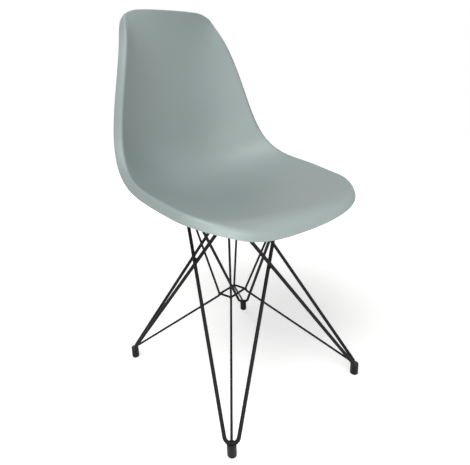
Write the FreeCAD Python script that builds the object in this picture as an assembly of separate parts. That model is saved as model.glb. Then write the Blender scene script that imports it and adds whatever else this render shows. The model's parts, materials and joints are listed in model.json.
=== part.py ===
import FreeCAD, Part
import math
import os

os.makedirs("parts", exist_ok=True)
Vector = FreeCAD.Vector

# A side chair: one moulded plastic shell, bolted through rubber pads onto a welded base of steel wire.
# Lengths are in millimetres. X is to the right as seen from the front, -Y is the front, Z is up.

# Seat shell
seat_height = 430.0           # floor to the hollow of the seat
shell_wall = 4.5
top_corner_across = 30.0      # rounded top corners of the back, measured across and down
top_corner_down = 22.0
front_corner_across = 183.0   # rounded front corners of the seat, measured across and back
front_corner_back = 69.5
dish_power = 2.5              # 2 is an even curve from side to side, more keeps the middle flatter

# The lip that turns down and back all round the shell, at the top and sides and then at the front
lip_roll_radius = (5.5, 14.5)   # the bend, on the sitter's side
lip_roll_angle = (82.0, 45.0)   # how far the lip turns away from the sitter, in degrees
lip_flange = (14.5, 8.5)        # straight part of the lip after the bend
lip_change_power = 12           # more keeps the change from one to the other nearer the front

# Cross-sections of the shell, from the top of the back down to the front of the seat.
# Each has half its width, then how far back and how high its side edge is, then the same for its middle.
# The shell passes smoothly near the inner ones rather than through them.
# Distances back are from the middle of the base and heights are above the hollow of the seat.
shell_sections = [
    (111.0, 214.0, 396.0, 203.0, 397.5),
    (116.0, 198.0, 366.0, 200.0, 340.0),
    (129.5, 168.0, 329.0, 194.5, 248.0),
    (168.0, 148.0, 204.0, 189.0, 151.0),
    (187.5, 132.5, 115.0, 191.0, 45.0),
    (206.0, 70.5, 59.0, 85.0, -2.0),
    (216.0, -24.0, 47.0, -59.0, 1.0),
    (202.0, -110.0, 29.5, -152.5, 2.0),
    (198.0, -183.5, 23.0, -194.5, 7.0),
    (199.5, -217.5, 5.0, -200.5, -19.0),
]

# Bosses moulded under the seat, each with a threaded insert
boss_radius = 15.0
boss_roof = 2.5               # plastic between the insert's pocket and the shell's underside
rib_count = 6                 # ribs round each boss
rib_thickness = 2.5
rib_reach = 27.0              # from the boss's axis to the tip of a rib
rib_step = 2.0                # how far a rib starts above the boss's end
insert_radius = 4.2
insert_length = 10.0
pocket_relief = 1.5           # free depth past the insert

# Fasteners and pads, from the shell down
bolt_radius = 3.0
thread_clearance = 0.1
bolt_hole_clearance = 0.4
thread_engagement = 9.0
bolt_head_across = 10.0       # across the flats
bolt_head_height = 4.0
flat_washer_radius = 7.0
flat_washer_thickness = 1.4
spring_washer_radius = 5.4
spring_washer_thickness = 1.6
spring_washer_gap = 1.2       # the cut in the spring washer
pad_radius = 15.0
pad_thickness = 5.0
plate_thickness = 3.0
plate_inner_reach = 16.0      # from the bolt to the plate's inner edges
plate_corner_radius = 8.0
bolt_inset = 20.0             # from the top frame's centre lines in to the bolt

# Wire base
rod_diameter = 7.6            # the legs and the top frame
wire_diameter = 5.0           # the struts and the centre ring
weld_depth = 0.1              # how far a strut and the ring are pressed into each other
frame_width = 161.0           # the top frame, between centre lines
frame_depth = 157.4
frame_corner_radius = 24.0
rod_end_inset = 17.5          # from the top frame's corner to where a leg rod ends
foot_spacing_x = 368.8        # between the legs' bends
foot_spacing_y = 393.8
foot_bend_height = 27.5       # from the floor to the middle of the rod, at the bend
foot_bend_radius = 14.0
crossing_gap = 0.2            # between the two rods where they cross
ring_length = 55.0            # the centre ring, between centre lines, across the chair
ring_width = 32.0
ring_corner_radius = 5.0
ring_turn = 13.0              # the ring sits turned on the struts, in degrees
ring_behind_middle = 15.0
ring_height = 195.0
ring_contact_angle = 30.0     # how far below level a strut's bend lies from the ring's corner, in degrees
strut_bend_radius = 9.0
strut_top_inset = 3.0         # the strut meets the frame's corner from inside

# Feet
stud_radius = 3.0
stud_depth = 17.0             # how far a stud reaches below the middle of the rod
cap_radius = 9.0
cap_height = 29.0
cap_chamfer = 2.6
cap_top_rounding = 2.0

# How finely the shell's free-form surfaces are worked out
spans_across = 16
spans_along = 34
roll_steps = 5
flange_poles = (0.5, 0.9, 1.0)  # shares of the lip's straight part; the last two keep its edge tight
probe = 0.001

# Sizes that follow from those above
rod_radius = rod_diameter / 2
wire_radius = wire_diameter / 2
boss_length = insert_length + pocket_relief + boss_roof
boss_end = seat_height - shell_wall - boss_length
plate_top = boss_end - pad_thickness
plate_bottom = plate_top - plate_thickness
frame_level = plate_bottom - rod_radius
bolt_x = frame_width / 2 - bolt_inset
bolt_y = frame_depth / 2 - bolt_inset
bolt_hole_radius = bolt_radius + bolt_hole_clearance
bolt_head_top = plate_bottom - flat_washer_thickness - spring_washer_thickness

corners = [("front_left", -1, -1), ("front_right", 1, -1), ("back_left", -1, 1), ("back_right", 1, 1)]
loop_order = [(1, -1), (1, 1), (-1, 1), (-1, -1)]


# The shell's form: two smooth lines, one down the middle and one down the side edge

def smooth_line(points):
    line = Part.BSplineCurve()
    line.buildFromPoles(points, False, 3)
    return line


side_line = smooth_line([Vector(w, y, seat_height + z) for w, y, z, cy, cz in shell_sections])
middle_line = smooth_line([Vector(0, cy, seat_height + cz) for w, y, z, cy, cz in shell_sections])
middle_length = middle_line.length()
typical_half_width = sum(section[0] for section in shell_sections) / len(shell_sections)


def place_on(line, share):
    return line.value(line.FirstParameter + (line.LastParameter - line.FirstParameter) * share)


def share_at(distance):
    # The share of the middle line's parameter that lies this far from the top of the back
    first, last = middle_line.FirstParameter, middle_line.LastParameter
    return (middle_line.parameterAtDistance(distance, first) - first) / (last - first)


def shell_point(across, along):
    # across runs from -1 at the left edge to 1 at the right one, along from the top to the front
    side = place_on(side_line, along)
    middle = place_on(middle_line, along)
    rise = abs(across) ** dish_power
    y = middle.y + (side.y - middle.y) * rise
    z = middle.z + (side.z - middle.z) * rise
    return Vector(across * side.x, y, z)


def shell_normal(across, along):
    # Points towards the sitter
    before, after = max(along - probe, 0), min(along + probe, 1)
    slope_across = shell_point(across + probe, along) - shell_point(across - probe, along)
    slope_along = shell_point(across, after) - shell_point(across, before)
    return slope_across.cross(slope_along).normalize() * -1


# The shell's outline, a loop of four sides that meet in the middles of the rounded corners

top_corner = {
    "across": top_corner_across / shell_sections[0][0],
    "along": share_at(top_corner_down),
    "start": 0.0,
    "sign": 1.0,
    "length": math.pi / 4 * (top_corner_across + top_corner_down) / 2,
}
front_corner = {
    "across": front_corner_across / shell_sections[-1][0],
    "along": 1 - share_at(middle_length - front_corner_back),
    "start": 1.0,
    "sign": -1.0,
    "length": math.pi / 4 * (front_corner_across + front_corner_back) / 2,
}


def corner_place(corner, angle):
    # 0 is where the side edge begins, a right angle is where the top or front edge begins
    across = 1 - corner["across"] * (1 - math.cos(angle))
    along = corner["start"] + corner["sign"] * corner["along"] * (1 - math.sin(angle))
    return across, along


def side_place(share):
    # The right side, from the middle of its top corner to the middle of its front corner
    straight = middle_length - top_corner_down - front_corner_back
    distance = share * (top_corner["length"] + straight + front_corner["length"])
    if distance < top_corner["length"]:
        return corner_place(top_corner, math.pi / 4 * (1 - distance / top_corner["length"]))
    distance -= top_corner["length"]
    if distance < straight:
        begin = top_corner["along"]
        end = 1 - front_corner["along"]
        return 1.0, begin + (end - begin) * distance / straight
    return corner_place(front_corner, math.pi / 4 * (distance - straight) / front_corner["length"])


def end_place(corner, half_width, share):
    # The top or front edge, from its left corner's middle to its right corner's middle
    straight = half_width * (1 - corner["across"])
    distance = abs(2 * share - 1) * (straight + corner["length"])
    if distance < straight:
        across, along = (1 - corner["across"]) * distance / straight, corner["start"]
    else:
        turned = (distance - straight) / corner["length"]
        across, along = corner_place(corner, math.pi / 2 - math.pi / 4 * turned)
    return (across if share > 0.5 else -across), along


def outline_place(position):
    # 0 to 1 runs along the top, 1 to 2 down the right, 2 to 3 along the front, 3 to 4 up the left
    side = math.floor(position)
    share = position - side
    if side % 4 == 0:
        return end_place(top_corner, shell_sections[0][0], share)
    if side % 4 == 1:
        return side_place(share)
    if side % 4 == 2:
        return end_place(front_corner, shell_sections[-1][0], 1 - share)
    across, along = side_place(1 - share)
    return -across, along


def patch_place(s, t):
    # A four-sided patch stretched between the outline's sides
    left, right = outline_place(4 - t), outline_place(1 + t)
    top, front = outline_place(s), outline_place(3 - s)
    place = []
    for k in (0, 1):
        between_sides = (1 - s) * left[k] + s * right[k] + (1 - t) * top[k] + t * front[k]
        far_corners = (1 - s) * outline_place(3)[k] + s * outline_place(2)[k]
        near_corners = (1 - s) * outline_place(0)[k] + s * outline_place(1)[k]
        place.append(between_sides - (1 - t) * near_corners - t * far_corners)
    return place


# Smooth surfaces through points taken from a formula

def stations(count):
    # Even shares, with one more just inside each end that gives the end its slope
    return [0, probe / count] + [k / count for k in range(1, count)] + [1 - probe / count, 1]


def to_poles(values):
    # Poles of a cubic that passes through values taken at the stations
    even = [values[0]] + values[2:-2] + [values[-1]]
    first = values[0] + (values[1] - values[0]) * (1 / (3 * probe))
    last = values[-1] + (values[-2] - values[-1]) * (1 / (3 * probe))
    inner = [even[k] * (4 / 3) - (even[k - 1] + even[k + 1]) * (1 / 6) for k in range(1, len(even) - 1)]
    return [values[0], first] + inner + [last, values[-1]]


def turned_grid(grid):
    return [list(row) for row in zip(*grid)]


def surface_face(poles):
    counts = (len(poles), len(poles[0]))
    knots = [list(range(count - 2)) for count in counts]
    repeats = [[4] + [1] * (count - 4) + [4] for count in counts]
    surface = Part.BSplineSurface()
    surface.buildFromPolesMultsKnots(poles, *repeats, *knots, False, False, 3, 3)
    return surface.toShape()


def sheet_face(depth):
    # The whole sheet of the shell, this deep under the face that the sitter touches
    grid = []
    for s in stations(spans_across):
        row = []
        for t in stations(spans_along):
            place = patch_place(s, t)
            row.append(shell_point(*place) - shell_normal(*place) * depth)
        grid.append(to_poles(row))
    return surface_face(turned_grid([to_poles(row) for row in turned_grid(grid)]))


def lip_profile(along):
    # Poles of the lip's section, as (outward, towards the sitter), round its free edge and back
    front = max(along, 0) ** lip_change_power
    sizes = [side + (end - side) * front for side, end in (lip_roll_radius, lip_roll_angle, lip_flange)]
    roll_radius, roll, flange = sizes[0], math.radians(sizes[1]), sizes[2]
    turn = roll / roll_steps
    halves = []
    for depth in (0, shell_wall):
        # A cubic line runs inside its poles, so those of the bend lie a little outside it
        radius = roll_radius - depth
        pole_radius = radius * 3 / (2 + math.cos(turn))
        half = [(0, -depth), (radius * turn / 3, -depth)]
        for step in range(1, roll_steps + 1):
            angle = turn * step
            half.append((pole_radius * math.sin(angle), pole_radius * math.cos(angle) - roll_radius))
        out, up = radius * math.sin(roll), radius * math.cos(roll) - roll_radius
        for share in flange_poles:
            half.append((out + flange * share * math.cos(roll), up - flange * share * math.sin(roll)))
        halves.append(half)
    return halves[0] + halves[1][::-1]


def lip_section(position):
    place = outline_place(position)
    point = shell_point(*place)
    normal = shell_normal(*place)
    ahead = shell_point(*outline_place(position + probe))
    behind = shell_point(*outline_place(position - probe))
    outward = normal.cross(ahead - behind).normalize()
    return [point + outward * out + normal * up for out, up in lip_profile(place[1])]


def lip_face(side, spans):
    sections = [lip_section(side + share) for share in stations(spans)]
    return surface_face([to_poles(list(row)) for row in zip(*sections)])


def closed_solid(faces):
    sewn = Part.makeCompound(faces)
    sewn.sewShape()
    solid = Part.makeSolid(sewn.Shells[0])
    if solid.Volume < 0:
        solid.reverse()
    return solid


def share_behind(distance):
    # Where the middle line passes this far behind the middle of the base, on the seat
    low, high = 0.3, 1.0
    for halving in range(30):
        middle = (low + high) / 2
        if place_on(middle_line, middle).y > distance:
            low = middle
        else:
            high = middle
    return low


def seat_core():
    # Everything below the middle of the seat's wall, to trim the bosses to the seat
    reach = rib_reach + boss_radius
    begin, end = share_behind(bolt_y + reach), share_behind(-bolt_y - reach)
    widest = (bolt_x + reach) / typical_half_width
    grid = []
    for s in stations(spans_across):
        row = []
        for t in stations(spans_across):
            place = (widest * (2 * s - 1), begin + (end - begin) * t)
            row.append(shell_point(*place) - shell_normal(*place) * (shell_wall / 2))
        grid.append(to_poles(row))
    face = surface_face(turned_grid([to_poles(row) for row in turned_grid(grid)]))
    return face.extrude(Vector(0, 0, -4 * boss_length))


# Simple solids

def upright_cylinder(x, y, bottom, height, radius):
    return Part.makeCylinder(radius, height, Vector(x, y, bottom))


def washer(x, y, bottom, height, radius, hole):
    return upright_cylinder(x, y, bottom, height, radius).cut(upright_cylinder(x, y, bottom, height, hole))


def bent_path(points, radii):
    # Straight runs joined by arcs that touch both runs
    edges = []
    start = points[0]
    for before, point, after, radius in zip(points, points[1:], points[2:], radii):
        back = (before - point).normalize()
        ahead = (after - point).normalize()
        half_turn = (math.pi - back.getAngle(ahead)) / 2
        set_back = radius * math.tan(half_turn)
        centre = point + (back + ahead).normalize() * (radius / math.cos(half_turn))
        top = centre + (point - centre).normalize() * radius
        begin, end = point + back * set_back, point + ahead * set_back
        edges.append(Part.LineSegment(start, begin).toShape())
        edges.append(Part.Arc(begin, top, end).toShape())
        start = end
    edges.append(Part.LineSegment(start, points[-1]).toShape())
    return Part.Wire(edges)


def wire_along(path, radius):
    first = path.Edges[0]
    begin = first.valueAt(first.FirstParameter)
    direction = first.tangentAt(first.FirstParameter)
    section = Part.Wire(Part.makeCircle(radius, begin, direction))
    return path.makePipeShell([section], True, False)


def closed_loop(corner_points, corner_radius, radius):
    # A closed loop of round wire that starts in the middle of one side
    start = (corner_points[-1] + corner_points[0]) * 0.5
    points = [start] + corner_points + [start]
    return wire_along(bent_path(points, [corner_radius] * len(corner_points)), radius)


# Seat shell with its bosses

def boss(x, y):
    height = seat_height - boss_end
    solid = upright_cylinder(x, y, boss_end, 2 * height, boss_radius)
    for index in range(rib_count):
        rib = Part.makePolygon([
            Vector(0, 0, boss_end + rib_step),
            Vector(boss_radius, 0, boss_end + rib_step),
            Vector(rib_reach, 0, seat_height - shell_wall),
            Vector(rib_reach, 0, boss_end + 2 * height),
            Vector(0, 0, boss_end + 2 * height),
            Vector(0, 0, boss_end + rib_step),
        ])
        plate = Part.Face(rib).extrude(Vector(0, rib_thickness, 0))
        plate.translate(Vector(0, -rib_thickness / 2, 0))
        plate.rotate(Vector(0, 0, 0), Vector(0, 0, 1), 360 * (index + 0.5) / rib_count)
        plate.translate(Vector(x, y, 0))
        solid = solid.fuse(plate)
    return solid


def insert_pocket(x, y):
    return upright_cylinder(x, y, boss_end, insert_length + pocket_relief, insert_radius)


def seat_shell():
    faces = [sheet_face(0), sheet_face(shell_wall)]
    faces += [lip_face(side, spans_along if side % 2 else spans_across) for side in range(4)]
    shell = closed_solid(faces)
    core = seat_core()
    for name, sx, sy in corners:
        moulded = boss(sx * bolt_x, sy * bolt_y).common(core)
        shell = shell.fuse(moulded).cut(insert_pocket(sx * bolt_x, sy * bolt_y))
    return shell.removeSplitter()


# Fasteners, one set at each corner of the base

def threaded_insert(x, y):
    return washer(x, y, boss_end, insert_length, insert_radius, bolt_radius + thread_clearance)


def mounting_bolt(x, y):
    corner_distance = bolt_head_across / 2 / math.cos(math.pi / 6)
    head_bottom = bolt_head_top - bolt_head_height
    ring = []
    for side in range(7):
        angle = math.pi / 3 * side
        ring.append(Vector(math.cos(angle), math.sin(angle), 0) * corner_distance)
    head = Part.Face(Part.makePolygon(ring)).extrude(Vector(0, 0, bolt_head_height))
    head.translate(Vector(x, y, head_bottom))
    length = boss_end + thread_engagement - bolt_head_top
    shank = upright_cylinder(x, y, bolt_head_top, length, bolt_radius)
    return head.fuse(shank).removeSplitter()


def spring_washer(x, y):
    ring = washer(x, y, bolt_head_top, spring_washer_thickness, spring_washer_radius, bolt_hole_radius)
    corner = Vector(x, y - spring_washer_gap / 2, bolt_head_top)
    return ring.cut(Part.makeBox(spring_washer_radius, spring_washer_gap, spring_washer_thickness, corner))


def flat_washer(x, y):
    bottom = plate_bottom - flat_washer_thickness
    return washer(x, y, bottom, flat_washer_thickness, flat_washer_radius, bolt_hole_radius)


def mount_pad(x, y):
    return washer(x, y, plate_top, pad_thickness, pad_radius, bolt_hole_radius)


def mount_plate(sx, sy):
    # A square plate whose outer corner follows the top frame's corner
    outer_x, outer_y = frame_width / 2 + rod_radius, frame_depth / 2 + rod_radius
    inner_x, inner_y = bolt_x - plate_inner_reach, bolt_y - plate_inner_reach
    points = [Vector(inner_x, inner_y, 0), Vector(outer_x, inner_y, 0),
              Vector(outer_x, outer_y, 0), Vector(inner_x, outer_y, 0)]
    start = (points[-1] + points[0]) * 0.5
    small = plate_corner_radius
    radii = [small, small, frame_corner_radius + rod_radius, small]
    outline = bent_path([start] + points + [start], radii)
    plate = Part.Face(outline).extrude(Vector(0, 0, plate_thickness))
    plate.translate(Vector(0, 0, plate_bottom))
    plate = plate.cut(upright_cylinder(bolt_x, bolt_y, plate_bottom, plate_thickness, bolt_hole_radius))
    if sx < 0:
        plate = plate.mirror(Vector(0, 0, 0), Vector(1, 0, 0))
    if sy < 0:
        plate = plate.mirror(Vector(0, 0, 0), Vector(0, 1, 0))
    return plate


# Wire base

def top_frame():
    half_x, half_y = frame_width / 2, frame_depth / 2
    points = [Vector(half_x * sx, half_y * sy, frame_level) for sx, sy in loop_order]
    return closed_loop(points, frame_corner_radius, rod_radius)


def foot_point(sx, sy):
    return Vector(sx * foot_spacing_x / 2, sy * foot_spacing_y / 2, foot_bend_height)


def leg_points(sx, sy):
    # The two top ends of a leg's rod, and the point where its straight runs would meet below the bend.
    # On each side of the chair the rods that turn clockwise, seen from above, pass outside the others.
    foot = foot_point(sx, sy)
    across_end = Vector(-sx * (frame_width / 2 - rod_end_inset), sy * frame_depth / 2, frame_level)
    along_end = Vector(sx * frame_width / 2, -sy * (frame_depth / 2 - rod_end_inset), frame_level)
    shift_across, shift_along = Vector(0, 0, 0), Vector(0, 0, 0)
    apex = foot
    for turn in range(20):
        first, second = across_end + shift_across, along_end + shift_along
        to_first, to_second = (first - apex).normalize(), (second - apex).normalize()
        half_angle = to_first.getAngle(to_second) / 2
        middle = (to_first + to_second).normalize()
        apex = foot - middle * (foot_bend_radius * (1 / math.sin(half_angle) - 1))
        rise = frame_level - apex.z
        shift_across = Vector(0, -sx * crossing_shift(apex.x, first.x, first.y - apex.y, rise), 0)
        shift_along = Vector(sy * crossing_shift(apex.y, second.y, second.x - apex.x, rise), 0, 0)
    return first, apex, second


def crossing_shift(near, far, inward, rise):
    # How far a rod's top end moves sideways, so that the two rods of a side touch where they cross
    share_at_crossing = abs(near) / (abs(near) + abs(far))
    tilt = rise / math.hypot(inward, rise)
    return (rod_radius + crossing_gap / 2) / share_at_crossing / tilt


def leg(sx, sy):
    return wire_along(bent_path(list(leg_points(sx, sy)), [foot_bend_radius]), rod_radius)


def ring_corner(sx, sy, outward, up):
    # A place beside a corner of the centre ring, this far outward and up from it
    x = sx * (ring_length / 2 + outward / math.sqrt(2))
    y = sy * (ring_width / 2 + outward / math.sqrt(2))
    turn = FreeCAD.Rotation(Vector(0, 0, 1), ring_turn)
    return turn.multVec(Vector(x, y, 0)) + Vector(0, ring_behind_middle, ring_height + up)


def centre_ring():
    points = [ring_corner(sx, sy, 0, 0) for sx, sy in loop_order]
    return closed_loop(points, ring_corner_radius, wire_radius)


def strut(sx, sy):
    # The wire bends just outside the ring's corner, where the two touch
    bend_depth = frame_corner_radius * (1 - math.sqrt(0.5)) + strut_top_inset * math.sqrt(0.5)
    top = Vector(sx * (frame_width / 2 - bend_depth), sy * (frame_depth / 2 - bend_depth), frame_level)
    foot = foot_point(sx, sy)
    reach = wire_diameter - weld_depth
    angle = math.radians(ring_contact_angle)
    outward = reach * math.cos(angle) - ring_corner_radius * (math.sqrt(2) - 1)
    bend = ring_corner(sx, sy, outward, -reach * math.sin(angle))
    to_foot, to_top = (foot - bend).normalize(), (top - bend).normalize()
    half_angle = to_foot.getAngle(to_top) / 2
    apex = bend - (to_foot + to_top).normalize() * (strut_bend_radius * (1 / math.sin(half_angle) - 1))
    return wire_along(bent_path([foot, apex, top], [strut_bend_radius]), wire_radius)


def foot_stud(sx, sy):
    foot = foot_point(sx, sy)
    return upright_cylinder(foot.x, foot.y, foot.z - stud_depth, stud_depth, stud_radius)


def foot_cap(sx, sy):
    foot = foot_point(sx, sy)
    cap = upright_cylinder(foot.x, foot.y, 0, cap_height, cap_radius)
    rim = [edge for edge in cap.Edges if edge.isClosed()]
    low = [edge for edge in rim if edge.CenterOfMass.z < cap_height / 2]
    high = [edge for edge in rim if edge.CenterOfMass.z > cap_height / 2]
    return cap.makeChamfer(cap_chamfer, low).makeFillet(cap_top_rounding, high)


# Assembly

def build_chair():
    pieces = {"seat_shell": [seat_shell()]}
    frame = top_frame()
    pieces["top_frame"] = [frame]
    for name, sx, sy in corners:
        x, y = sx * bolt_x, sy * bolt_y
        pieces.setdefault("threaded_inserts", []).append(threaded_insert(x, y))
        pieces.setdefault("mounting_bolts", []).append(mounting_bolt(x, y))
        pieces.setdefault("spring_washers", []).append(spring_washer(x, y))
        pieces.setdefault("flat_washers", []).append(flat_washer(x, y))
        pieces[name + "_mount_pad"] = [mount_pad(x, y)]
        pieces[name + "_mount_plate"] = [mount_plate(sx, sy)]
        whole_leg = leg(sx, sy)
        stud = foot_stud(sx, sy).cut(whole_leg)
        brace = strut(sx, sy).cut(whole_leg).cut(frame)
        pieces[name + "_leg"] = [whole_leg.cut(frame)]
        pieces[name + "_strut"] = [brace]
        pieces.setdefault("foot_studs", []).append(stud)
        pieces[name + "_foot_cap"] = [foot_cap(sx, sy).cut(whole_leg).cut(stud).cut(brace)]
    ring = centre_ring()
    for name, sx, sy in corners:
        ring = ring.cut(pieces[name + "_strut"][0])
    pieces["centre_ring"] = [ring]
    return pieces


def largest_solid(shape):
    # A cut end can leave crumbs, which the real wire doesn't have
    return max(shape.Solids, key=lambda solid: solid.Volume)


pieces = {name: [largest_solid(shape) for shape in shapes] for name, shapes in build_chair().items()}

# The origin is on the floor, under the middle of the whole chair
extent = Part.makeCompound(sum(pieces.values(), [])).optimalBoundingBox()
to_origin = Vector(0, -(extent.YMin + extent.YMax) / 2, 0)

for name, solids in pieces.items():
    shape = solids[0] if len(solids) == 1 else Part.makeCompound(solids)
    shape.translate(to_origin)
    shape.exportStep("parts/" + name + ".step")
    valid = shape.isValid() and all(solid.isClosed() for solid in solids)
    print(name, "ok" if valid else "NOT VALID", len(solids), "solids, volume", round(shape.Volume))
print("moved by", round(to_origin.y, 2), "to put the origin under the middle")
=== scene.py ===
import json
import math
import bmesh
import bpy
import numpy as np
from mathutils import Matrix, Vector
from mathutils.geometry import intersect_line_line


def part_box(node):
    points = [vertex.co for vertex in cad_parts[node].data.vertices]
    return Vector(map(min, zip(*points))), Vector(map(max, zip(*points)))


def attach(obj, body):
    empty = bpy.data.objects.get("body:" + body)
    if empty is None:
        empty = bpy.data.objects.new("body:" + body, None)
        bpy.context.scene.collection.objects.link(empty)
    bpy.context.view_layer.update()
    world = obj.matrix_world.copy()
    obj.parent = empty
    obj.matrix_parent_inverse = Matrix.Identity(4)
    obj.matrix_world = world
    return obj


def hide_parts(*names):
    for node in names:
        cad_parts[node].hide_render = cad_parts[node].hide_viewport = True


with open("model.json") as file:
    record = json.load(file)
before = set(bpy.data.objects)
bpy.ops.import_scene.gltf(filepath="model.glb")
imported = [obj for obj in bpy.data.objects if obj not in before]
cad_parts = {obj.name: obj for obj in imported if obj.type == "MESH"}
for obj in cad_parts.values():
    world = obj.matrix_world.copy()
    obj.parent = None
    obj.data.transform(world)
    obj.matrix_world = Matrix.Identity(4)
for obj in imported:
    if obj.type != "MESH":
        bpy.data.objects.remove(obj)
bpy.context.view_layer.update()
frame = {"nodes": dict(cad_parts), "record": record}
scene = bpy.context.scene

# Drawn sizes are in millimetres, with heights above the floor and the rest from the middle of the wire base.
mm = 0.001
frameLow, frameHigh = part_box("top_frame")
baseMiddle = Vector((0, (frameLow.y + frameHigh.y) / 2, 0))
corners = [(-1, -1), (1, -1), (-1, 1), (1, 1)]  # front left, front right, back left, back right
print("frame loaded, base middle at", round(baseMiddle.y / mm, 2), "mm")


def toScene(point):
    return Vector(point) * mm + baseMiddle


def toLinear(hexColour):
    parts = [int(hexColour[i:i + 2], 16) / 255 for i in (1, 3, 5)]
    linear = [c / 12.92 if c <= 0.04045 else ((c + 0.055) / 1.055) ** 2.4 for c in parts]
    return tuple(linear) + (1.0,)


def addNode(tree, kind, settings=None, links=None):
    node = tree.nodes.new("ShaderNode" + kind)
    for name, value in (settings or {}).items():
        if isinstance(name, int) or name in node.inputs:
            node.inputs[name].default_value = value
        else:
            setattr(node, name, value)
    for name, socket in (links or {}).items():
        tree.links.new(socket, node.inputs[name])
    return node


def newMaterial(name):
    material = bpy.data.materials.new(name)
    material.use_nodes = True
    tree = material.node_tree
    tree.nodes.clear()
    place = addNode(tree, "TexCoord").outputs["Object"]  # in metres
    return material, tree, place


def scaleOf(size):
    # A pattern's scale from its real size in millimetres
    return 1 / (size * mm)


def colourRange(low, high):
    return {"data_type": "RGBA", 6: toLinear(low), 7: toLinear(high)}


def finishMaterial(material, tree, shader):
    addNode(tree, "OutputMaterial", links={"Surface": shader.outputs[0]})
    return material


# Camera, worked out from the lines of the legs and the shell's symmetry

photoCamera = {
    "position": (-556.5, -684.7, 653.8),
    "azimuth": -34.62,
    "elevation": 16.8,
    "roll": -3.25,
    "focalPixels": 416.4,
    "axisPixels": (202.84, 215.93),  # where the lens's axis meets the picture, from its top left
    "picturePixels": (470, 465),
}


def placeCamera(values):
    azimuth, elevation, roll = (math.radians(values[key]) for key in ("azimuth", "elevation", "roll"))
    level = math.cos(elevation)
    back = Vector((math.sin(azimuth) * level, -math.cos(azimuth) * level, math.sin(elevation)))
    right = Vector((math.cos(azimuth), math.sin(azimuth), 0))
    up = back.cross(right)
    turnedRight = right * math.cos(roll) + up * math.sin(roll)
    turnedUp = up * math.cos(roll) - right * math.sin(roll)
    width, height = values["picturePixels"]
    lens = bpy.data.cameras.new("photoCamera")
    lens.sensor_fit = "HORIZONTAL"
    lens.sensor_width = 36
    lens.lens = values["focalPixels"] / width * lens.sensor_width
    lens.shift_x = (width / 2 - values["axisPixels"][0]) / width
    lens.shift_y = (values["axisPixels"][1] - height / 2) / width
    camera = bpy.data.objects.new("photoCamera", lens)
    scene.collection.objects.link(camera)
    turned = Matrix((turnedRight, turnedUp, back)).transposed().to_4x4()
    camera.matrix_world = Matrix.Translation(toScene(values["position"])) @ turned
    scene.camera = camera


placeCamera(photoCamera)
print("camera placed")


# Studio: a pale floor, a surround that is seen as white, and four soft lamps

studio = {
    "floorSize": 9.0,
    "floorColour": "#f2f2f0",
    "floorGlow": (0.55, 1.0),  # under the chair, where the floor keeps its shadow, and far from it
    "glowReach": (0.5, 1.6),   # metres from the middle: where the first begins to give way, and where it has
    "surroundStrength": 0.05,
    "lamps": [
        # name, where it stands (mm), what it points at (mm), size in metres, watts
        ("keyLamp", (-1222, -445, 2702), (0, 0, 500), 1.6, 49.0),
        ("frontLamp", (-515, -810, 578), (0, -150, 430), 0.6, 3.7),
        ("lowLamp", (-74, -994, 504), (0, -150, 430), 0.6, 3.2),
        ("rearLamp", (600, 2500, 1100), (0, 0, 500), 1.6, 14.0),
    ],
}


def seenDirectly(tree):
    # 1 for the rays that show the background itself, and 0 for those that only light the chair
    rays = addNode(tree, "LightPath")
    ways = [rays.outputs[name] for name in ("Is Camera Ray", "Is Glossy Ray", "Is Transmission Ray")]
    shown = addNode(tree, "Math", {"operation": "MAXIMUM"}, {0: ways[0], 1: ways[1]})
    return addNode(tree, "Math", {"operation": "MAXIMUM"}, {0: shown.outputs[0], 1: ways[2]}).outputs[0]


def buildStudio(values):
    half = values["floorSize"] / 2
    mesh = bpy.data.meshes.new("studioFloor")
    sheet = [(-half, -half, 0), (half, -half, 0), (half, half, 0), (-half, half, 0)]
    mesh.from_pydata(sheet, [], [(0, 1, 2, 3)])
    floor = bpy.data.objects.new("studioFloor", mesh)
    scene.collection.objects.link(floor)
    material, tree, place = newMaterial("matteStudioPaper")
    paper = addNode(tree, "BsdfDiffuse", {"Color": toLinear(values["floorColour"])})
    distance = addNode(tree, "VectorMath", {"operation": "LENGTH"}, {0: place})
    reach, glow = values["glowReach"], values["floorGlow"]
    limits = {"From Min": reach[0], "From Max": reach[1], "To Min": glow[0], "To Max": glow[1]}
    strength = addNode(tree, "MapRange", limits, {"Value": distance.outputs["Value"]})
    white = addNode(tree, "Emission", links={"Strength": strength.outputs[0]})
    nothing = addNode(tree, "Emission", {"Strength": 0.0})
    shown = addNode(tree, "MixShader",
                    links={0: seenDirectly(tree), 1: nothing.outputs[0], 2: white.outputs[0]})
    shader = addNode(tree, "AddShader", links={0: paper.outputs[0], 1: shown.outputs[0]})
    mesh.materials.append(finishMaterial(material, tree, shader))

    world = bpy.data.worlds.new("whiteStudio")
    scene.world = world
    world.use_nodes = True
    tree = world.node_tree
    tree.nodes.clear()
    soft = addNode(tree, "Background", {"Color": (1, 1, 1, 1), "Strength": values["surroundStrength"]})
    white = addNode(tree, "Background", {"Color": (1, 1, 1, 1), "Strength": 1.0})
    shown = addNode(tree, "MixShader",
                    links={0: seenDirectly(tree), 1: soft.outputs[0], 2: white.outputs[0]})
    addNode(tree, "OutputWorld", links={"Surface": shown.outputs[0]})

    for name, stands, aims, size, watts in values["lamps"]:
        light = bpy.data.lights.new(name, "AREA")
        light.shape = "SQUARE"
        light.size = size
        light.energy = watts
        lamp = bpy.data.objects.new(name, light)
        lamp.location = toScene(stands)
        lamp.rotation_euler = (toScene(aims) - lamp.location).to_track_quat("-Z", "Y").to_euler()
        scene.collection.objects.link(lamp)


buildStudio(studio)
scene.view_settings.view_transform = "Standard"
print("studio built")


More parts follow.
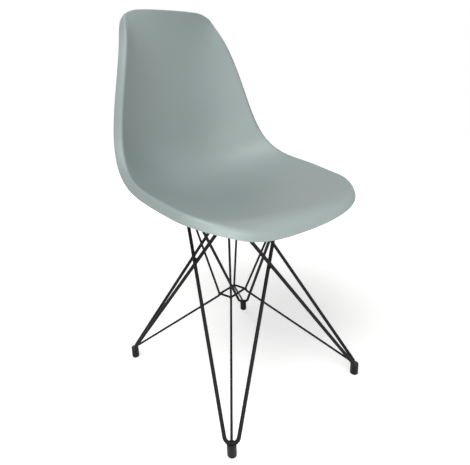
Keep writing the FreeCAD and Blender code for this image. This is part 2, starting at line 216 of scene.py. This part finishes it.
# Polypropylene, injection moulded: satin, with a soft wide highlight and hardly any grain
satinPolypropylene = {
    "colour": "#95a1a0",
    "flowColour": "#919e9c",  # the melt's flow leaves very faint broad clouds
    "flowSize": 140.0,
    "grainSize": 0.9,  # the real one is about 0.1 mm, drawn coarser so that it shows in close views
    "grainDepth": 0.02,
    "grainStrength": 0.35,
    "roughness": (0.40, 0.48),
    "ior": 1.49,
}


def makePolypropylene(values):
    material, tree, place = newMaterial("satinPolypropylene")
    cloud = addNode(tree, "TexNoise", {"Scale": scaleOf(values["flowSize"]), "Detail": 3.0},
                    {"Vector": place})
    colour = addNode(tree, "Mix", colourRange(values["flowColour"], values["colour"]), {0: cloud.outputs[0]})
    grain = addNode(tree, "TexNoise", {"Scale": scaleOf(values["grainSize"]), "Detail": 2.0},
                    {"Vector": place})
    low, high = values["roughness"]
    rough = addNode(tree, "MapRange", {"To Min": low, "To Max": high}, {"Value": grain.outputs[0]})
    relief = {"Strength": values["grainStrength"], "Distance": values["grainDepth"] * mm}
    bump = addNode(tree, "Bump", relief, {"Height": grain.outputs[0]})
    shader = addNode(tree, "BsdfPrincipled", {"IOR": values["ior"]},
                     {"Base Color": colour.outputs[2], "Roughness": rough.outputs[0],
                      "Normal": bump.outputs[0]})
    return finishMaterial(material, tree, shader)


# Mild steel wire with a baked powder coat: near black, with the coat's low orange peel in its highlights
powderCoatedSteel = {
    "colour": "#0b0c0d",
    "dustColour": "#131415",
    "dustSize": 25.0,
    "peelSize": 2.2,
    "peelDepth": 0.05,
    "peelStrength": 0.5,
    "roughness": (0.50, 0.64),
    "ior": 1.5,
    "shine": 0.18,  # 0.5 is the usual reflection, and a dead black coat has less
}


def makePowderCoat(values):
    material, tree, place = newMaterial("powderCoatedSteel")
    peel = addNode(tree, "TexNoise", {"Scale": scaleOf(values["peelSize"]), "Detail": 3.0},
                   {"Vector": place})
    dust = addNode(tree, "TexNoise", {"Scale": scaleOf(values["dustSize"]), "Detail": 4.0},
                   {"Vector": place})
    colour = addNode(tree, "Mix", colourRange(values["colour"], values["dustColour"]), {0: dust.outputs[0]})
    low, high = values["roughness"]
    rough = addNode(tree, "MapRange", {"To Min": low, "To Max": high}, {"Value": dust.outputs[0]})
    relief = {"Strength": values["peelStrength"], "Distance": values["peelDepth"] * mm}
    bump = addNode(tree, "Bump", relief, {"Height": peel.outputs[0]})
    shader = addNode(tree, "BsdfPrincipled", {"IOR": values["ior"], "Specular IOR Level": values["shine"]},
                     {"Base Color": colour.outputs[2], "Roughness": rough.outputs[0],
                      "Normal": bump.outputs[0]})
    return finishMaterial(material, tree, shader)


# Polyethylene, moulded: black and waxy, scuffed a little paler near the floor
blackPolyethylene = {
    "colour": "#0c0c0d",
    "scuffColour": "#1b1c1d",
    "scuffHeight": 9.0,
    "scuffShare": (0.7, 0.05),  # at the floor and above that height
    "scuffSize": 1.6,
    "scuffDepth": 0.04,
    "scuffStrength": 0.4,
    "roughness": (0.42, 0.70),
    "ior": 1.51,
    "shine": 0.2,
}


def makePolyethylene(values):
    material, tree, place = newMaterial("blackPolyethylene")
    height = addNode(tree, "SeparateXYZ", links={0: place})
    most, least = values["scuffShare"]
    limits = {"From Min": 0.0, "From Max": values["scuffHeight"] * mm, "To Min": most, "To Max": least}
    nearFloor = addNode(tree, "MapRange", limits, {"Value": height.outputs["Z"]})
    scratches = addNode(tree, "TexNoise", {"Scale": scaleOf(values["scuffSize"]), "Detail": 5.0},
                        {"Vector": place})
    scuff = addNode(tree, "Math", {"operation": "MULTIPLY"},
                    {0: nearFloor.outputs[0], 1: scratches.outputs[0]})
    colour = addNode(tree, "Mix", colourRange(values["colour"], values["scuffColour"]), {0: scuff.outputs[0]})
    low, high = values["roughness"]
    rough = addNode(tree, "MapRange", {"To Min": low, "To Max": high}, {"Value": scuff.outputs[0]})
    relief = {"Strength": values["scuffStrength"], "Distance": values["scuffDepth"] * mm}
    bump = addNode(tree, "Bump", relief, {"Height": scratches.outputs[0]})
    shader = addNode(tree, "BsdfPrincipled", {"IOR": values["ior"], "Specular IOR Level": values["shine"]},
                     {"Base Color": colour.outputs[2], "Roughness": rough.outputs[0],
                      "Normal": bump.outputs[0]})
    return finishMaterial(material, tree, shader)


# Natural rubber, compression moulded: dead matt charcoal with fine speckle
mouldedRubber = {
    "colour": "#1c1c1d",
    "bloomColour": "#2e2e2f",
    "speckSize": 0.8,
    "speckDepth": 0.05,
    "speckStrength": 0.5,
    "roughness": 0.85,
    "ior": 1.52,
}


def makeRubber(values):
    material, tree, place = newMaterial("mouldedRubber")
    speck = addNode(tree, "TexNoise", {"Scale": scaleOf(values["speckSize"]), "Detail": 4.0},
                    {"Vector": place})
    colour = addNode(tree, "Mix", colourRange(values["colour"], values["bloomColour"]), {0: speck.outputs[0]})
    relief = {"Strength": values["speckStrength"], "Distance": values["speckDepth"] * mm}
    bump = addNode(tree, "Bump", relief, {"Height": speck.outputs[0]})
    shader = addNode(tree, "BsdfPrincipled", {"Roughness": values["roughness"], "IOR": values["ior"]},
                     {"Base Color": colour.outputs[2], "Normal": bump.outputs[0]})
    return finishMaterial(material, tree, shader)


# Metals, mottled a little as handled parts are: zinc-plated steel in cool grey, turned brass in warm yellow
zincPlatedSteel = {
    "name": "zincPlatedSteel",
    "colour": "#b4b7b9",
    "darkColour": "#9ea2a5",
    "patchSize": 3.0,
    "roughness": (0.26, 0.44),
}
turnedBrass = {
    "name": "turnedBrass",
    "colour": "#d9b566",
    "darkColour": "#b8923f",
    "patchSize": 1.2,
    "roughness": (0.22, 0.36),
}


def makeMetal(values):
    material, tree, place = newMaterial(values["name"])
    patch = addNode(tree, "TexNoise", {"Scale": scaleOf(values["patchSize"]), "Detail": 4.0},
                    {"Vector": place})
    colour = addNode(tree, "Mix", colourRange(values["darkColour"], values["colour"]), {0: patch.outputs[0]})
    low, high = values["roughness"]
    rough = addNode(tree, "MapRange", {"To Min": low, "To Max": high}, {"Value": patch.outputs[0]})
    shader = addNode(tree, "BsdfPrincipled", {"Metallic": 1.0},
                     {"Base Color": colour.outputs[2], "Roughness": rough.outputs[0]})
    return finishMaterial(material, tree, shader)


materials = {
    "shell_plastic": makePolypropylene(satinPolypropylene),
    "coated_steel": makePowderCoat(powderCoatedSteel),
    "cap_plastic": makePolyethylene(blackPolyethylene),
    "pad_rubber": makeRubber(mouldedRubber),
    "plated_steel": makeMetal(zincPlatedSteel),
    "insert_brass": makeMetal(turnedBrass),
}
for part in frame["record"]["subparts"]:
    node = frame["nodes"][part["node"]]
    node.data.materials.clear()
    node.data.materials.append(materials[part["material_slot"]])
print("materials made")


def addPiece(name, mesh, slot):
    mesh.materials.append(materials[slot])
    for face in mesh.polygons:
        face.use_smooth = True
    piece = bpy.data.objects.new(name, mesh)
    scene.collection.objects.link(piece)
    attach(piece, "root")
    return piece


# Seat shell: a middle line and a side line, joined by curves that lie flat and then rise to the sides

seatShell = {
    "seatHeight": 429.9,
    "wall": 4.5,
    "sections": [
        # half the width, side edge's y and height above the hollow of the seat, the same for the middle
        (111.0, 214.0, 396.0, 203.0, 397.5),
        (116.0, 198.0, 366.0, 200.0, 340.0),
        (129.5, 168.0, 329.0, 194.5, 248.0),
        (168.0, 148.0, 204.0, 189.0, 151.0),
        (187.5, 132.5, 115.0, 191.0, 45.0),
        (206.0, 70.5, 59.0, 85.0, -2.0),
        (216.0, -24.0, 47.0, -59.0, 1.0),
        (202.0, -110.0, 29.5, -152.5, 2.0),
        (198.0, -183.5, 23.0, -194.5, 7.0),
        (199.5, -217.5, 5.0, -200.5, -19.0),
    ],
    "dishPower": 2.5,
    "topCorner": (30.0, 22.0),     # across and down
    "frontCorner": (183.0, 69.5),  # across and back
    "lipRadius": (5.5, 14.5),      # at the top and sides, then in the middle of the front
    "lipAngle": (82.0, 45.0),
    "lipFlange": (14.3, 8.5),
    "lipChangePower": 12,
    "edgeRounding": 1.1,           # of the lip's free edge
    "cellsAcross": 44,
    "cellsAlong": 96,
    "lipSteps": 8,
    "lineSteps": 4000,             # for measuring along the middle line
}


def splineWeights(count, shares):
    # How much each pole of a clamped cubic curve counts, with shares from 0 to 1 as the curve's parameter
    knots = np.concatenate([np.zeros(3), np.linspace(0, 1, count - 2), np.ones(3)])
    shares = np.clip(np.asarray(shares, float), 0, 1 - 1e-9)
    weights = [((shares >= a) & (shares < b)).astype(float) for a, b in zip(knots, knots[1:])]
    for degree in (1, 2, 3):
        raised = []
        for i in range(len(weights) - 1):
            weight = np.zeros_like(shares)
            if knots[i + degree] > knots[i]:
                weight += (shares - knots[i]) / (knots[i + degree] - knots[i]) * weights[i]
            end = knots[i + degree + 1]
            if end > knots[i + 1]:
                weight += (end - shares) / (end - knots[i + 1]) * weights[i + 1]
            raised.append(weight)
        weights = raised
    return np.stack(weights, -1)


class ShellForm:
    def __init__(self, values):
        self.values = values
        sections = np.array(values["sections"])
        sections[:, [2, 4]] += values["seatHeight"]
        self.side, self.middle = sections[:, :3], sections[:, 3:]
        self.shares = np.linspace(0, 1, values["lineSteps"] + 1)
        line = splineWeights(len(self.middle), self.shares) @ self.middle
        steps = np.linalg.norm(np.diff(line, axis=0), axis=1)
        self.distances = np.concatenate([[0], np.cumsum(steps)])
        self.length = self.distances[-1]
        self.top = self.cornerSizes(values["topCorner"], sections[0, 0], 0.0, 1.0)
        self.front = self.cornerSizes(values["frontCorner"], sections[-1, 0], 1.0, -1.0)

    def shareAt(self, distance):
        return np.interp(distance, self.distances, self.shares)

    def cornerSizes(self, size, halfWidth, start, sign):
        # Corners are quarter ellipses, and length is that of one half, taken at their mean radius
        along = self.shareAt(size[1]) if sign > 0 else 1 - self.shareAt(self.length - size[1])
        length = math.pi / 4 * sum(size) / 2
        return {"across": size[0] / halfWidth, "along": along, "start": start, "sign": sign,
                "length": length, "down": size[1], "halfWidth": halfWidth}

    def points(self, across, along):
        weights = splineWeights(len(self.side), along)
        side, middle = weights @ self.side, weights @ self.middle
        rise = np.abs(across)[..., None] ** self.values["dishPower"]
        yz = middle + (side[..., 1:] - middle) * rise
        return np.concatenate([(across * side[..., 0])[..., None], yz], -1)

    def normals(self, across, along, step=0.001):
        # They point towards the sitter
        slopeAcross = self.points(across + step, along) - self.points(across - step, along)
        before, after = np.maximum(along - step, 0), np.minimum(along + step, 1)
        slopeAlong = self.points(across, after) - self.points(across, before)
        normal = -np.cross(slopeAcross, slopeAlong)
        return normal / np.linalg.norm(normal, axis=-1, keepdims=True)

    def cornerPlace(self, corner, angle):
        across = 1 - corner["across"] * (1 - math.cos(angle))
        return across, corner["start"] + corner["sign"] * corner["along"] * (1 - math.sin(angle))

    def sidePlace(self, share):
        straight = self.length - self.top["down"] - self.front["down"]
        distance = share * (self.top["length"] + straight + self.front["length"])
        if distance < self.top["length"]:
            return self.cornerPlace(self.top, math.pi / 4 * (1 - distance / self.top["length"]))
        distance -= self.top["length"]
        if distance < straight:
            begin, end = self.top["along"], 1 - self.front["along"]
            return 1.0, begin + (end - begin) * distance / straight
        return self.cornerPlace(self.front, math.pi / 4 * (distance - straight) / self.front["length"])

    def endPlace(self, corner, share):
        straight = corner["halfWidth"] * (1 - corner["across"])
        distance = abs(2 * share - 1) * (straight + corner["length"])
        if distance < straight:
            across, along = (1 - corner["across"]) * distance / straight, corner["start"]
        else:
            turned = (distance - straight) / corner["length"]
            across, along = self.cornerPlace(corner, math.pi / 2 - math.pi / 4 * turned)
        return (across if share > 0.5 else -across), along

    def outlinePlace(self, position):
        # 0 to 1 runs along the top, 1 to 2 down the right, 2 to 3 along the front, 3 to 4 up the left
        side = math.floor(position) % 4
        share = position - math.floor(position)
        if side == 0:
            return self.endPlace(self.top, share)
        if side == 1:
            return self.sidePlace(share)
        if side == 2:
            return self.endPlace(self.front, 1 - share)
        across, along = self.sidePlace(1 - share)
        return -across, along

    def lipSection(self, along):
        # The lip's outline as (outward, towards the sitter), round its free edge and back under
        values = self.values
        front = max(along, 0) ** values["lipChangePower"]
        ranges = (values["lipRadius"], values["lipAngle"], values["lipFlange"])
        radius, degrees, flange = (a + (b - a) * front for a, b in ranges)
        roll, wall, rounding = math.radians(degrees), values["wall"], values["edgeRounding"]
        outward, up = math.cos(roll), -math.sin(roll)

        def bend(angle, depth):
            return ((radius - depth) * math.sin(angle), (radius - depth) * math.cos(angle) - radius)

        turns = [roll * k / values["lipSteps"] for k in range(1, values["lipSteps"] + 1)]
        upper = [bend(angle, 0) for angle in turns]
        lower = [bend(angle, wall) for angle in reversed(turns)]
        free = []
        for depth, angles in ((rounding, (90, 60, 30, 0)), (wall - rounding, (0, -30, -60, -90))):
            for turn in angles:
                run = flange - rounding * (1 - math.cos(math.radians(turn)))
                side = depth - rounding * math.sin(math.radians(turn))
                x, y = bend(roll, side)
                free.append((x + run * outward, y + run * up))
        return upper + free + lower


def buildShell(values):
    form = ShellForm(values)
    across, along = values["cellsAcross"], values["cellsAlong"]
    places = np.zeros((across + 1, along + 1, 2))
    far = [np.array(form.outlinePlace(k)) for k in range(4)]
    edges = {}
    for i in range(across + 1):
        s = i / across
        edges["top", i] = np.array(form.outlinePlace(s) if i < across else far[1])
        edges["front", i] = np.array(form.outlinePlace(3 - s) if i else far[3])
    for j in range(along + 1):
        t = j / along
        edges["right", j] = np.array(form.outlinePlace(1 + t) if j < along else far[2])
        edges["left", j] = np.array(form.outlinePlace(4 - t) if j else far[0])
    for i in range(across + 1):
        for j in range(along + 1):
            s, t = i / across, j / along
            between = (1 - s) * edges["left", j] + s * edges["right", j]
            between = between + (1 - t) * edges["top", i] + t * edges["front", i]
            meeting = (1 - t) * ((1 - s) * far[0] + s * far[1]) + t * ((1 - s) * far[3] + s * far[2])
            places[i, j] = between - meeting
    touched = form.points(places[..., 0], places[..., 1])
    normals = form.normals(places[..., 0], places[..., 1])
    hidden = touched - normals * values["wall"]

    loop = [(i, 0) for i in range(across)] + [(across, j) for j in range(along)]
    loop += [(i, along) for i in range(across, 0, -1)] + [(0, j) for j in range(along, 0, -1)]
    rim = np.array([touched[i, j] for i, j in loop])
    rimNormals = np.array([normals[i, j] for i, j in loop])
    tangents = np.roll(rim, -1, 0) - np.roll(rim, 1, 0)
    outwards = np.cross(rimNormals, tangents)
    outwards /= np.linalg.norm(outwards, axis=1, keepdims=True)
    lip = []
    for k, (i, j) in enumerate(loop):
        section = form.lipSection(places[i, j, 1])
        lip.append([rim[k] + outwards[k] * out + rimNormals[k] * up for out, up in section])
    lip = np.array(lip).transpose(1, 0, 2)

    points = np.concatenate([touched.reshape(-1, 3), hidden.reshape(-1, 3), lip.reshape(-1, 3)])
    sheet, row = (across + 1) * (along + 1), along + 1
    faces = []
    for start in (0, sheet):
        for i in range(across):
            for j in range(along):
                a = start + i * row + j
                faces.append((a, a + row, a + row + 1, a + 1))
    count = len(loop)
    rings = [[i * row + j for i, j in loop]]
    rings += [[2 * sheet + k * count + n for n in range(count)] for k in range(len(lip))]
    rings += [[sheet + i * row + j for i, j in loop]]
    for ring, following in zip(rings, rings[1:]):
        for n in range(count):
            m = (n + 1) % count
            faces.append((ring[n], ring[m], following[m], following[n]))

    mesh = bpy.data.meshes.new("seatShell")
    mesh.from_pydata([toScene(point) for point in points], [], faces)
    shape = bmesh.new()
    shape.from_mesh(mesh)
    bmesh.ops.recalc_face_normals(shape, faces=shape.faces)
    shape.to_mesh(mesh)
    shape.free()
    piece = addPiece("seatShell", mesh, "shell_plastic")
    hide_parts("seat_shell")


buildShell(seatShell)
print("seat shell built")


# Bosses under the seat, moulded with the shell: each holds a threaded insert and is stiffened by six ribs

seatBosses = {
    "radius": 15.0,
    "top": 428.0,          # the seat's underside is up to 2 mm higher at the front, 1 to 7 mm at the rear
    "end": 411.5,
    "rootDepth": 3.5,      # how far below the top the boss has its full width
    "pocketRadius": 4.2,
    "pocketDepth": 11.5,
    "edgeRounding": 0.7,
    "rootFillet": 2.5,
    "pinhole": 0.01,       # left in the middle of the pocket's floor, too small to see
    "mouthBend": 0.3,      # where the pocket's mouth bends, as a share of its rounding
    "endSteps": 4,
    "rootSteps": 6,
    "segments": 64,
    "ribs": 6,
    "ribThickness": 2.5,
    "ribReach": 27.0,
    "ribStep": 2.0,        # from the boss's end up to the rib's edge
    "ribRoot": 1.5,        # how far a rib reaches into the boss
    "ribShelf": 0.5,       # how far its edge runs level before it slopes
    "ribTip": 3.0,
    "ribDraft": 0.76,      # how thick the free edge is, as a share of the root
    "boltInset": 20.0,     # from the top frame's centre lines
    "frameSize": (161.0, 157.4),
}


def boltPlace(values, sx, sy):
    width, depth = values["frameSize"]
    return sx * (width / 2 - values["boltInset"]), sy * (depth / 2 - values["boltInset"])


def turnProfile(shape, profile, x, y, segments):
    # Turns (radius, height) points round an upright axis and joins the rings
    angles = [2 * math.pi * k / segments for k in range(segments)]
    rings = []
    for radius, height in profile:
        ring = [(x + radius * math.cos(a), y + radius * math.sin(a), height) for a in angles]
        rings.append([shape.verts.new(toScene(point)) for point in ring])
    for ring, following in zip(rings, rings[1:]):
        for k in range(segments):
            m = (k + 1) % segments
            shape.faces.new((ring[k], ring[m], following[m], following[k]))


def quarterTurn(steps):
    return [math.pi / 2 * k / steps for k in range(steps + 1)]


def buildBosses(values):
    shape = bmesh.new()
    end, top, radius, rounding = values["end"], values["top"], values["radius"], values["edgeRounding"]
    fillet, pocket = values["rootFillet"], values["pocketRadius"]
    bottom, soft = end + values["pocketDepth"], rounding * values["mouthBend"]
    profile = [(values["pinhole"], bottom), (pocket, bottom), (pocket, end + rounding)]
    profile += [(pocket + soft, end + soft), (pocket + rounding, end)]
    for angle in quarterTurn(values["endSteps"]):
        profile.append((radius - rounding * (1 - math.sin(angle)), end + rounding * (1 - math.cos(angle))))
    for angle in quarterTurn(values["rootSteps"]):
        height = top - values["rootDepth"] - fillet * (1 - math.sin(angle))
        profile.append((radius + fillet * (1 - math.cos(angle)), height))
    profile.append((radius + fillet, top))
    for sx, sy in corners:
        x, y = boltPlace(values, sx, sy)
        turnProfile(shape, profile, x, y, values["segments"])
        for index in range(values["ribs"]):
            angle = 2 * math.pi * (index + 0.5) / values["ribs"]
            addRib(shape, values, x, y, angle)
    mesh = bpy.data.meshes.new("seatBosses")
    shape.to_mesh(mesh)
    shape.free()
    piece = addPiece("seatBosses", mesh, "shell_plastic")
    sharpen(piece)
    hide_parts("seat_shell")


def addRib(shape, values, x, y, angle):
    # A thin web from the boss out to its tip, a little thinner at its free edge, as a mould needs
    out = Vector((math.cos(angle), math.sin(angle), 0))
    aside = Vector((-out.y, out.x, 0))
    start, reach = values["radius"] - values["ribRoot"], values["ribReach"]
    low, high = values["end"] + values["ribStep"], values["top"]
    edge = [(start, low), (values["radius"] + values["ribShelf"], low)]
    edge += [(reach, high - values["ribTip"]), (reach, high), (start, high)]
    sides = []
    for sign in (-1, 1):
        side = []
        for distance, height in edge:
            thin = values["ribDraft"] if height < high else 1
            half = sign * values["ribThickness"] / 2 * thin
            place = Vector((x, y, height)) + out * distance + aside * half
            side.append(shape.verts.new(toScene(place)))
        sides.append(side)
    shape.faces.new(sides[0])
    shape.faces.new(list(reversed(sides[1])))
    for k in range(len(edge)):
        m = (k + 1) % len(edge)
        shape.faces.new((sides[0][m], sides[0][k], sides[1][k], sides[1][m]))


def sharpen(piece, degrees=35):
    # Shades faces that meet at more than this angle with a hard edge between them
    piece.data.set_sharp_from_angle(angle=math.radians(degrees))


buildBosses(seatBosses)
print("seat bosses built")


# Welds: a short bead wherever two wires of the base cross or meet, under the same powder coat

baseWires = {
    "frameSize": (161.0, 157.4),
    "frameCorner": 24.0,
    "endInset": 17.5,
    "feet": (368.8, 393.8),
    "footHeight": 27.5,
    "footBend": 14.0,
    "rod": 7.6,
    "wire": 5.0,
    "crossingGap": 0.2,
    "ring": (55.0, 32.0),
    "ringCorner": 5.0,
    "ringTurn": 13.0,
    "ringBehind": 15.0,
    "ringHeight": 195.0,
    "ringContactAngle": 30.0,
    "strutTopInset": 3.0,
    "settlingRounds": 12,
}
weldBeads = {
    "ripples": 3.0,       # waves along a bead, left by the torch's steps
    "rippleDepth": 0.05,  # shares of the bead's size
    "lumpDepth": 0.10,
    "lumpWaves": (2.3, 1.9, 1.7),  # along the bead, across it, and how much the seed shifts the second
    "fineness": 4,                 # how often the ball that a bead starts from is divided
    # half sizes along the joint, across it and upright, in millimetres
    "rodEnd": (2.6, 2.0, 2.4),
    "rodCrossing": (2.4, 2.2, 2.6),
    "ringUpper": (3.4, 2.2, 2.4),
    "ringLower": (3.0, 2.0, 2.2),
    "strutFoot": (3.6, 2.9, 2.9),
    "strutTop": (3.2, 2.6, 2.6),
    # how far they lie from the joint's middle
    "rodEndGap": 0.6,
    "rodEndSpread": 0.95,  # of the rod's radius
    "crossingReach": (3.6, 2.6),
    "ringOffsets": (1.2, 1.6),
    "footGap": 0.4,
    "topSink": 0.2,
}


def frameLevel():
    return (frameLow.z + frameHigh.z) / 2 / mm


def legLine(values, sx, sy):
    # The rod's two top ends, and between them the point where its straight runs would meet
    level = frameLevel()
    width, depth = values["frameSize"]
    foot = Vector((sx * values["feet"][0] / 2, sy * values["feet"][1] / 2, values["footHeight"]))
    acrossEnd = Vector((-sx * (width / 2 - values["endInset"]), sy * depth / 2, level))
    alongEnd = Vector((sx * width / 2, -sy * (depth / 2 - values["endInset"]), level))
    apex, first, second = foot.copy(), acrossEnd, alongEnd
    # The ends hang on where the runs meet and the other way round, so both are settled in rounds
    for attempt in range(values["settlingRounds"]):
        toFirst, toSecond = (first - apex).normalized(), (second - apex).normalized()
        half = toFirst.angle(toSecond) / 2
        apex = foot - (toFirst + toSecond).normalized() * (values["footBend"] * (1 / math.sin(half) - 1))
        rise = level - apex.z
        first = acrossEnd - Vector((0, sx * sideShift(values, apex.x, first.x, first.y - apex.y, rise), 0))
        second = alongEnd + Vector((sy * sideShift(values, apex.y, second.y, second.x - apex.x, rise), 0, 0))
    return first, apex, second


def sideShift(values, near, far, inward, rise):
    # How far a rod's end moves aside so that crossing rods lie against each other
    share = abs(near) / (abs(near) + abs(far))
    return (values["rod"] + values["crossingGap"]) / 2 / share / (rise / math.hypot(inward, rise))


def ringPlace(values, sx, sy, outward, up):
    # A place by the ring's corner, this far out from it and up
    x = sx * (values["ring"][0] / 2 + outward / math.sqrt(2))
    y = sy * (values["ring"][1] / 2 + outward / math.sqrt(2))
    turned = Matrix.Rotation(math.radians(values["ringTurn"]), 3, "Z") @ Vector((x, y, 0))
    return turned + Vector((0, values["ringBehind"], values["ringHeight"] + up))


def addBead(shape, centre, along, size, seed):
    # A lumpy bead: its length lies along the joint, and its ripples cross it
    length, width, height = size
    ball = bmesh.ops.create_icosphere(shape, subdivisions=weldBeads["fineness"], radius=1.0)["verts"]
    turn = Vector(along).to_track_quat("X", "Z").to_matrix()
    alongWave, acrossWave, shift = weldBeads["lumpWaves"]
    for vert in ball:
        p = vert.co.copy()
        ripple = 1 + weldBeads["rippleDepth"] * math.cos(p.x * math.pi * weldBeads["ripples"] + seed)
        lump = math.sin(alongWave * p.x + seed) * math.cos(acrossWave * p.y + shift * seed)
        p = p * ripple * (1 + weldBeads["lumpDepth"] * lump)
        vert.co = toScene(Vector(centre) + turn @ Vector((p.x * length, p.y * width, p.z * height)))


def buildWelds(values, beads):
    shape = bmesh.new()
    legs = {(sx, sy): legLine(values, sx, sy) for sx, sy in corners}
    rod, wire = values["rod"] / 2, values["wire"] / 2
    seed = 0.0
    for (sx, sy), (across, apex, along) in legs.items():
        seed += 1.3
        # Where the rod's two ends meet the top frame, a bead lies on each side of the rod
        for end, frameWay in ((across, Vector((1, 0, 0))), (along, Vector((0, 1, 0)))):
            run = (end - apex).normalized()
            contact = end - run * (rod + beads["rodEndGap"])
            for sign in (-1, 1):
                centre = contact + frameWay * (sign * rod * beads["rodEndSpread"])
                addBead(shape, centre, run.cross(frameWay), beads["rodEnd"], seed + sign)
        # Where it crosses the next leg's rod on the same side of the chair, beads lie round the crossing
        partner = legs[(-sx, sy)] if sx > 0 else None
        if partner:
            addCrossing(shape, beads, (across, apex), (partner[0], partner[1]), seed)
        partner = legs[(sx, -sy)] if sy > 0 else None
        if partner:
            addCrossing(shape, beads, (along, apex), (partner[2], partner[1]), seed + 0.6)
    for sx, sy in corners:
        seed += 0.9
        # The strut's bend lies on the ring's corner
        inset = values["ringCorner"] * (math.sqrt(2) - 1)
        ringMiddle = ringPlace(values, sx, sy, -inset, 0)
        angle = math.radians(values["ringContactAngle"])
        outward, down = values["wire"] * math.cos(angle), values["wire"] * math.sin(angle)
        bend = ringPlace(values, sx, sy, outward - inset, -down)
        joint = (ringMiddle + bend) / 2
        aside = Vector((-(bend - ringMiddle).y, (bend - ringMiddle).x, 0)).normalized()
        above, below = beads["ringOffsets"]
        addBead(shape, joint + Vector((0, 0, above)), aside, beads["ringUpper"], seed)
        addBead(shape, joint - Vector((0, 0, below)), aside, beads["ringLower"], seed + 2)
        # The strut's foot in the leg's bend
        foot = Vector((sx * values["feet"][0] / 2, sy * values["feet"][1] / 2, values["footHeight"]))
        run = (bend - foot).normalized()
        level = Vector((-run.y, run.x, 0)).normalized()
        addBead(shape, foot + run * (rod + beads["footGap"]), level, beads["strutFoot"], seed + 1)
        # The strut's top inside the top frame's corner
        depth = values["frameCorner"] * (1 - math.sqrt(0.5)) + values["strutTopInset"] * math.sqrt(0.5)
        width, length = values["frameSize"]
        top = Vector((sx * (width / 2 - depth), sy * (length / 2 - depth), frameLevel()))
        run = (top - bend).normalized()
        level = Vector((-run.y, run.x, 0)).normalized()
        addBead(shape, top - run * (rod - beads["topSink"]), level, beads["strutTop"], seed + 3)
    mesh = bpy.data.meshes.new("weldBeads")
    shape.to_mesh(mesh)
    shape.free()
    addPiece("weldBeads", mesh, "coated_steel")


def addCrossing(shape, beads, lineA, lineB, seed):
    # Four beads round the place where two rods lie against each other
    onA, onB = intersect_line_line(lineA[0], lineA[1], lineB[0], lineB[1])
    runA, runB = (lineA[0] - lineA[1]).normalized(), (lineB[0] - lineB[1]).normalized()
    middle = (onA + onB) / 2
    upward = (runA + runB).normalized()
    sideways = (runA - runB).normalized()
    apart = (onA - onB).normalized()
    high, wide = beads["crossingReach"]
    for way, reach in ((upward, high), (-upward, high), (sideways, wide), (-sideways, wide)):
        addBead(shape, middle + way * reach, apart, beads["rodCrossing"], seed + reach)


buildWelds(baseWires, weldBeads)
print("welds built")
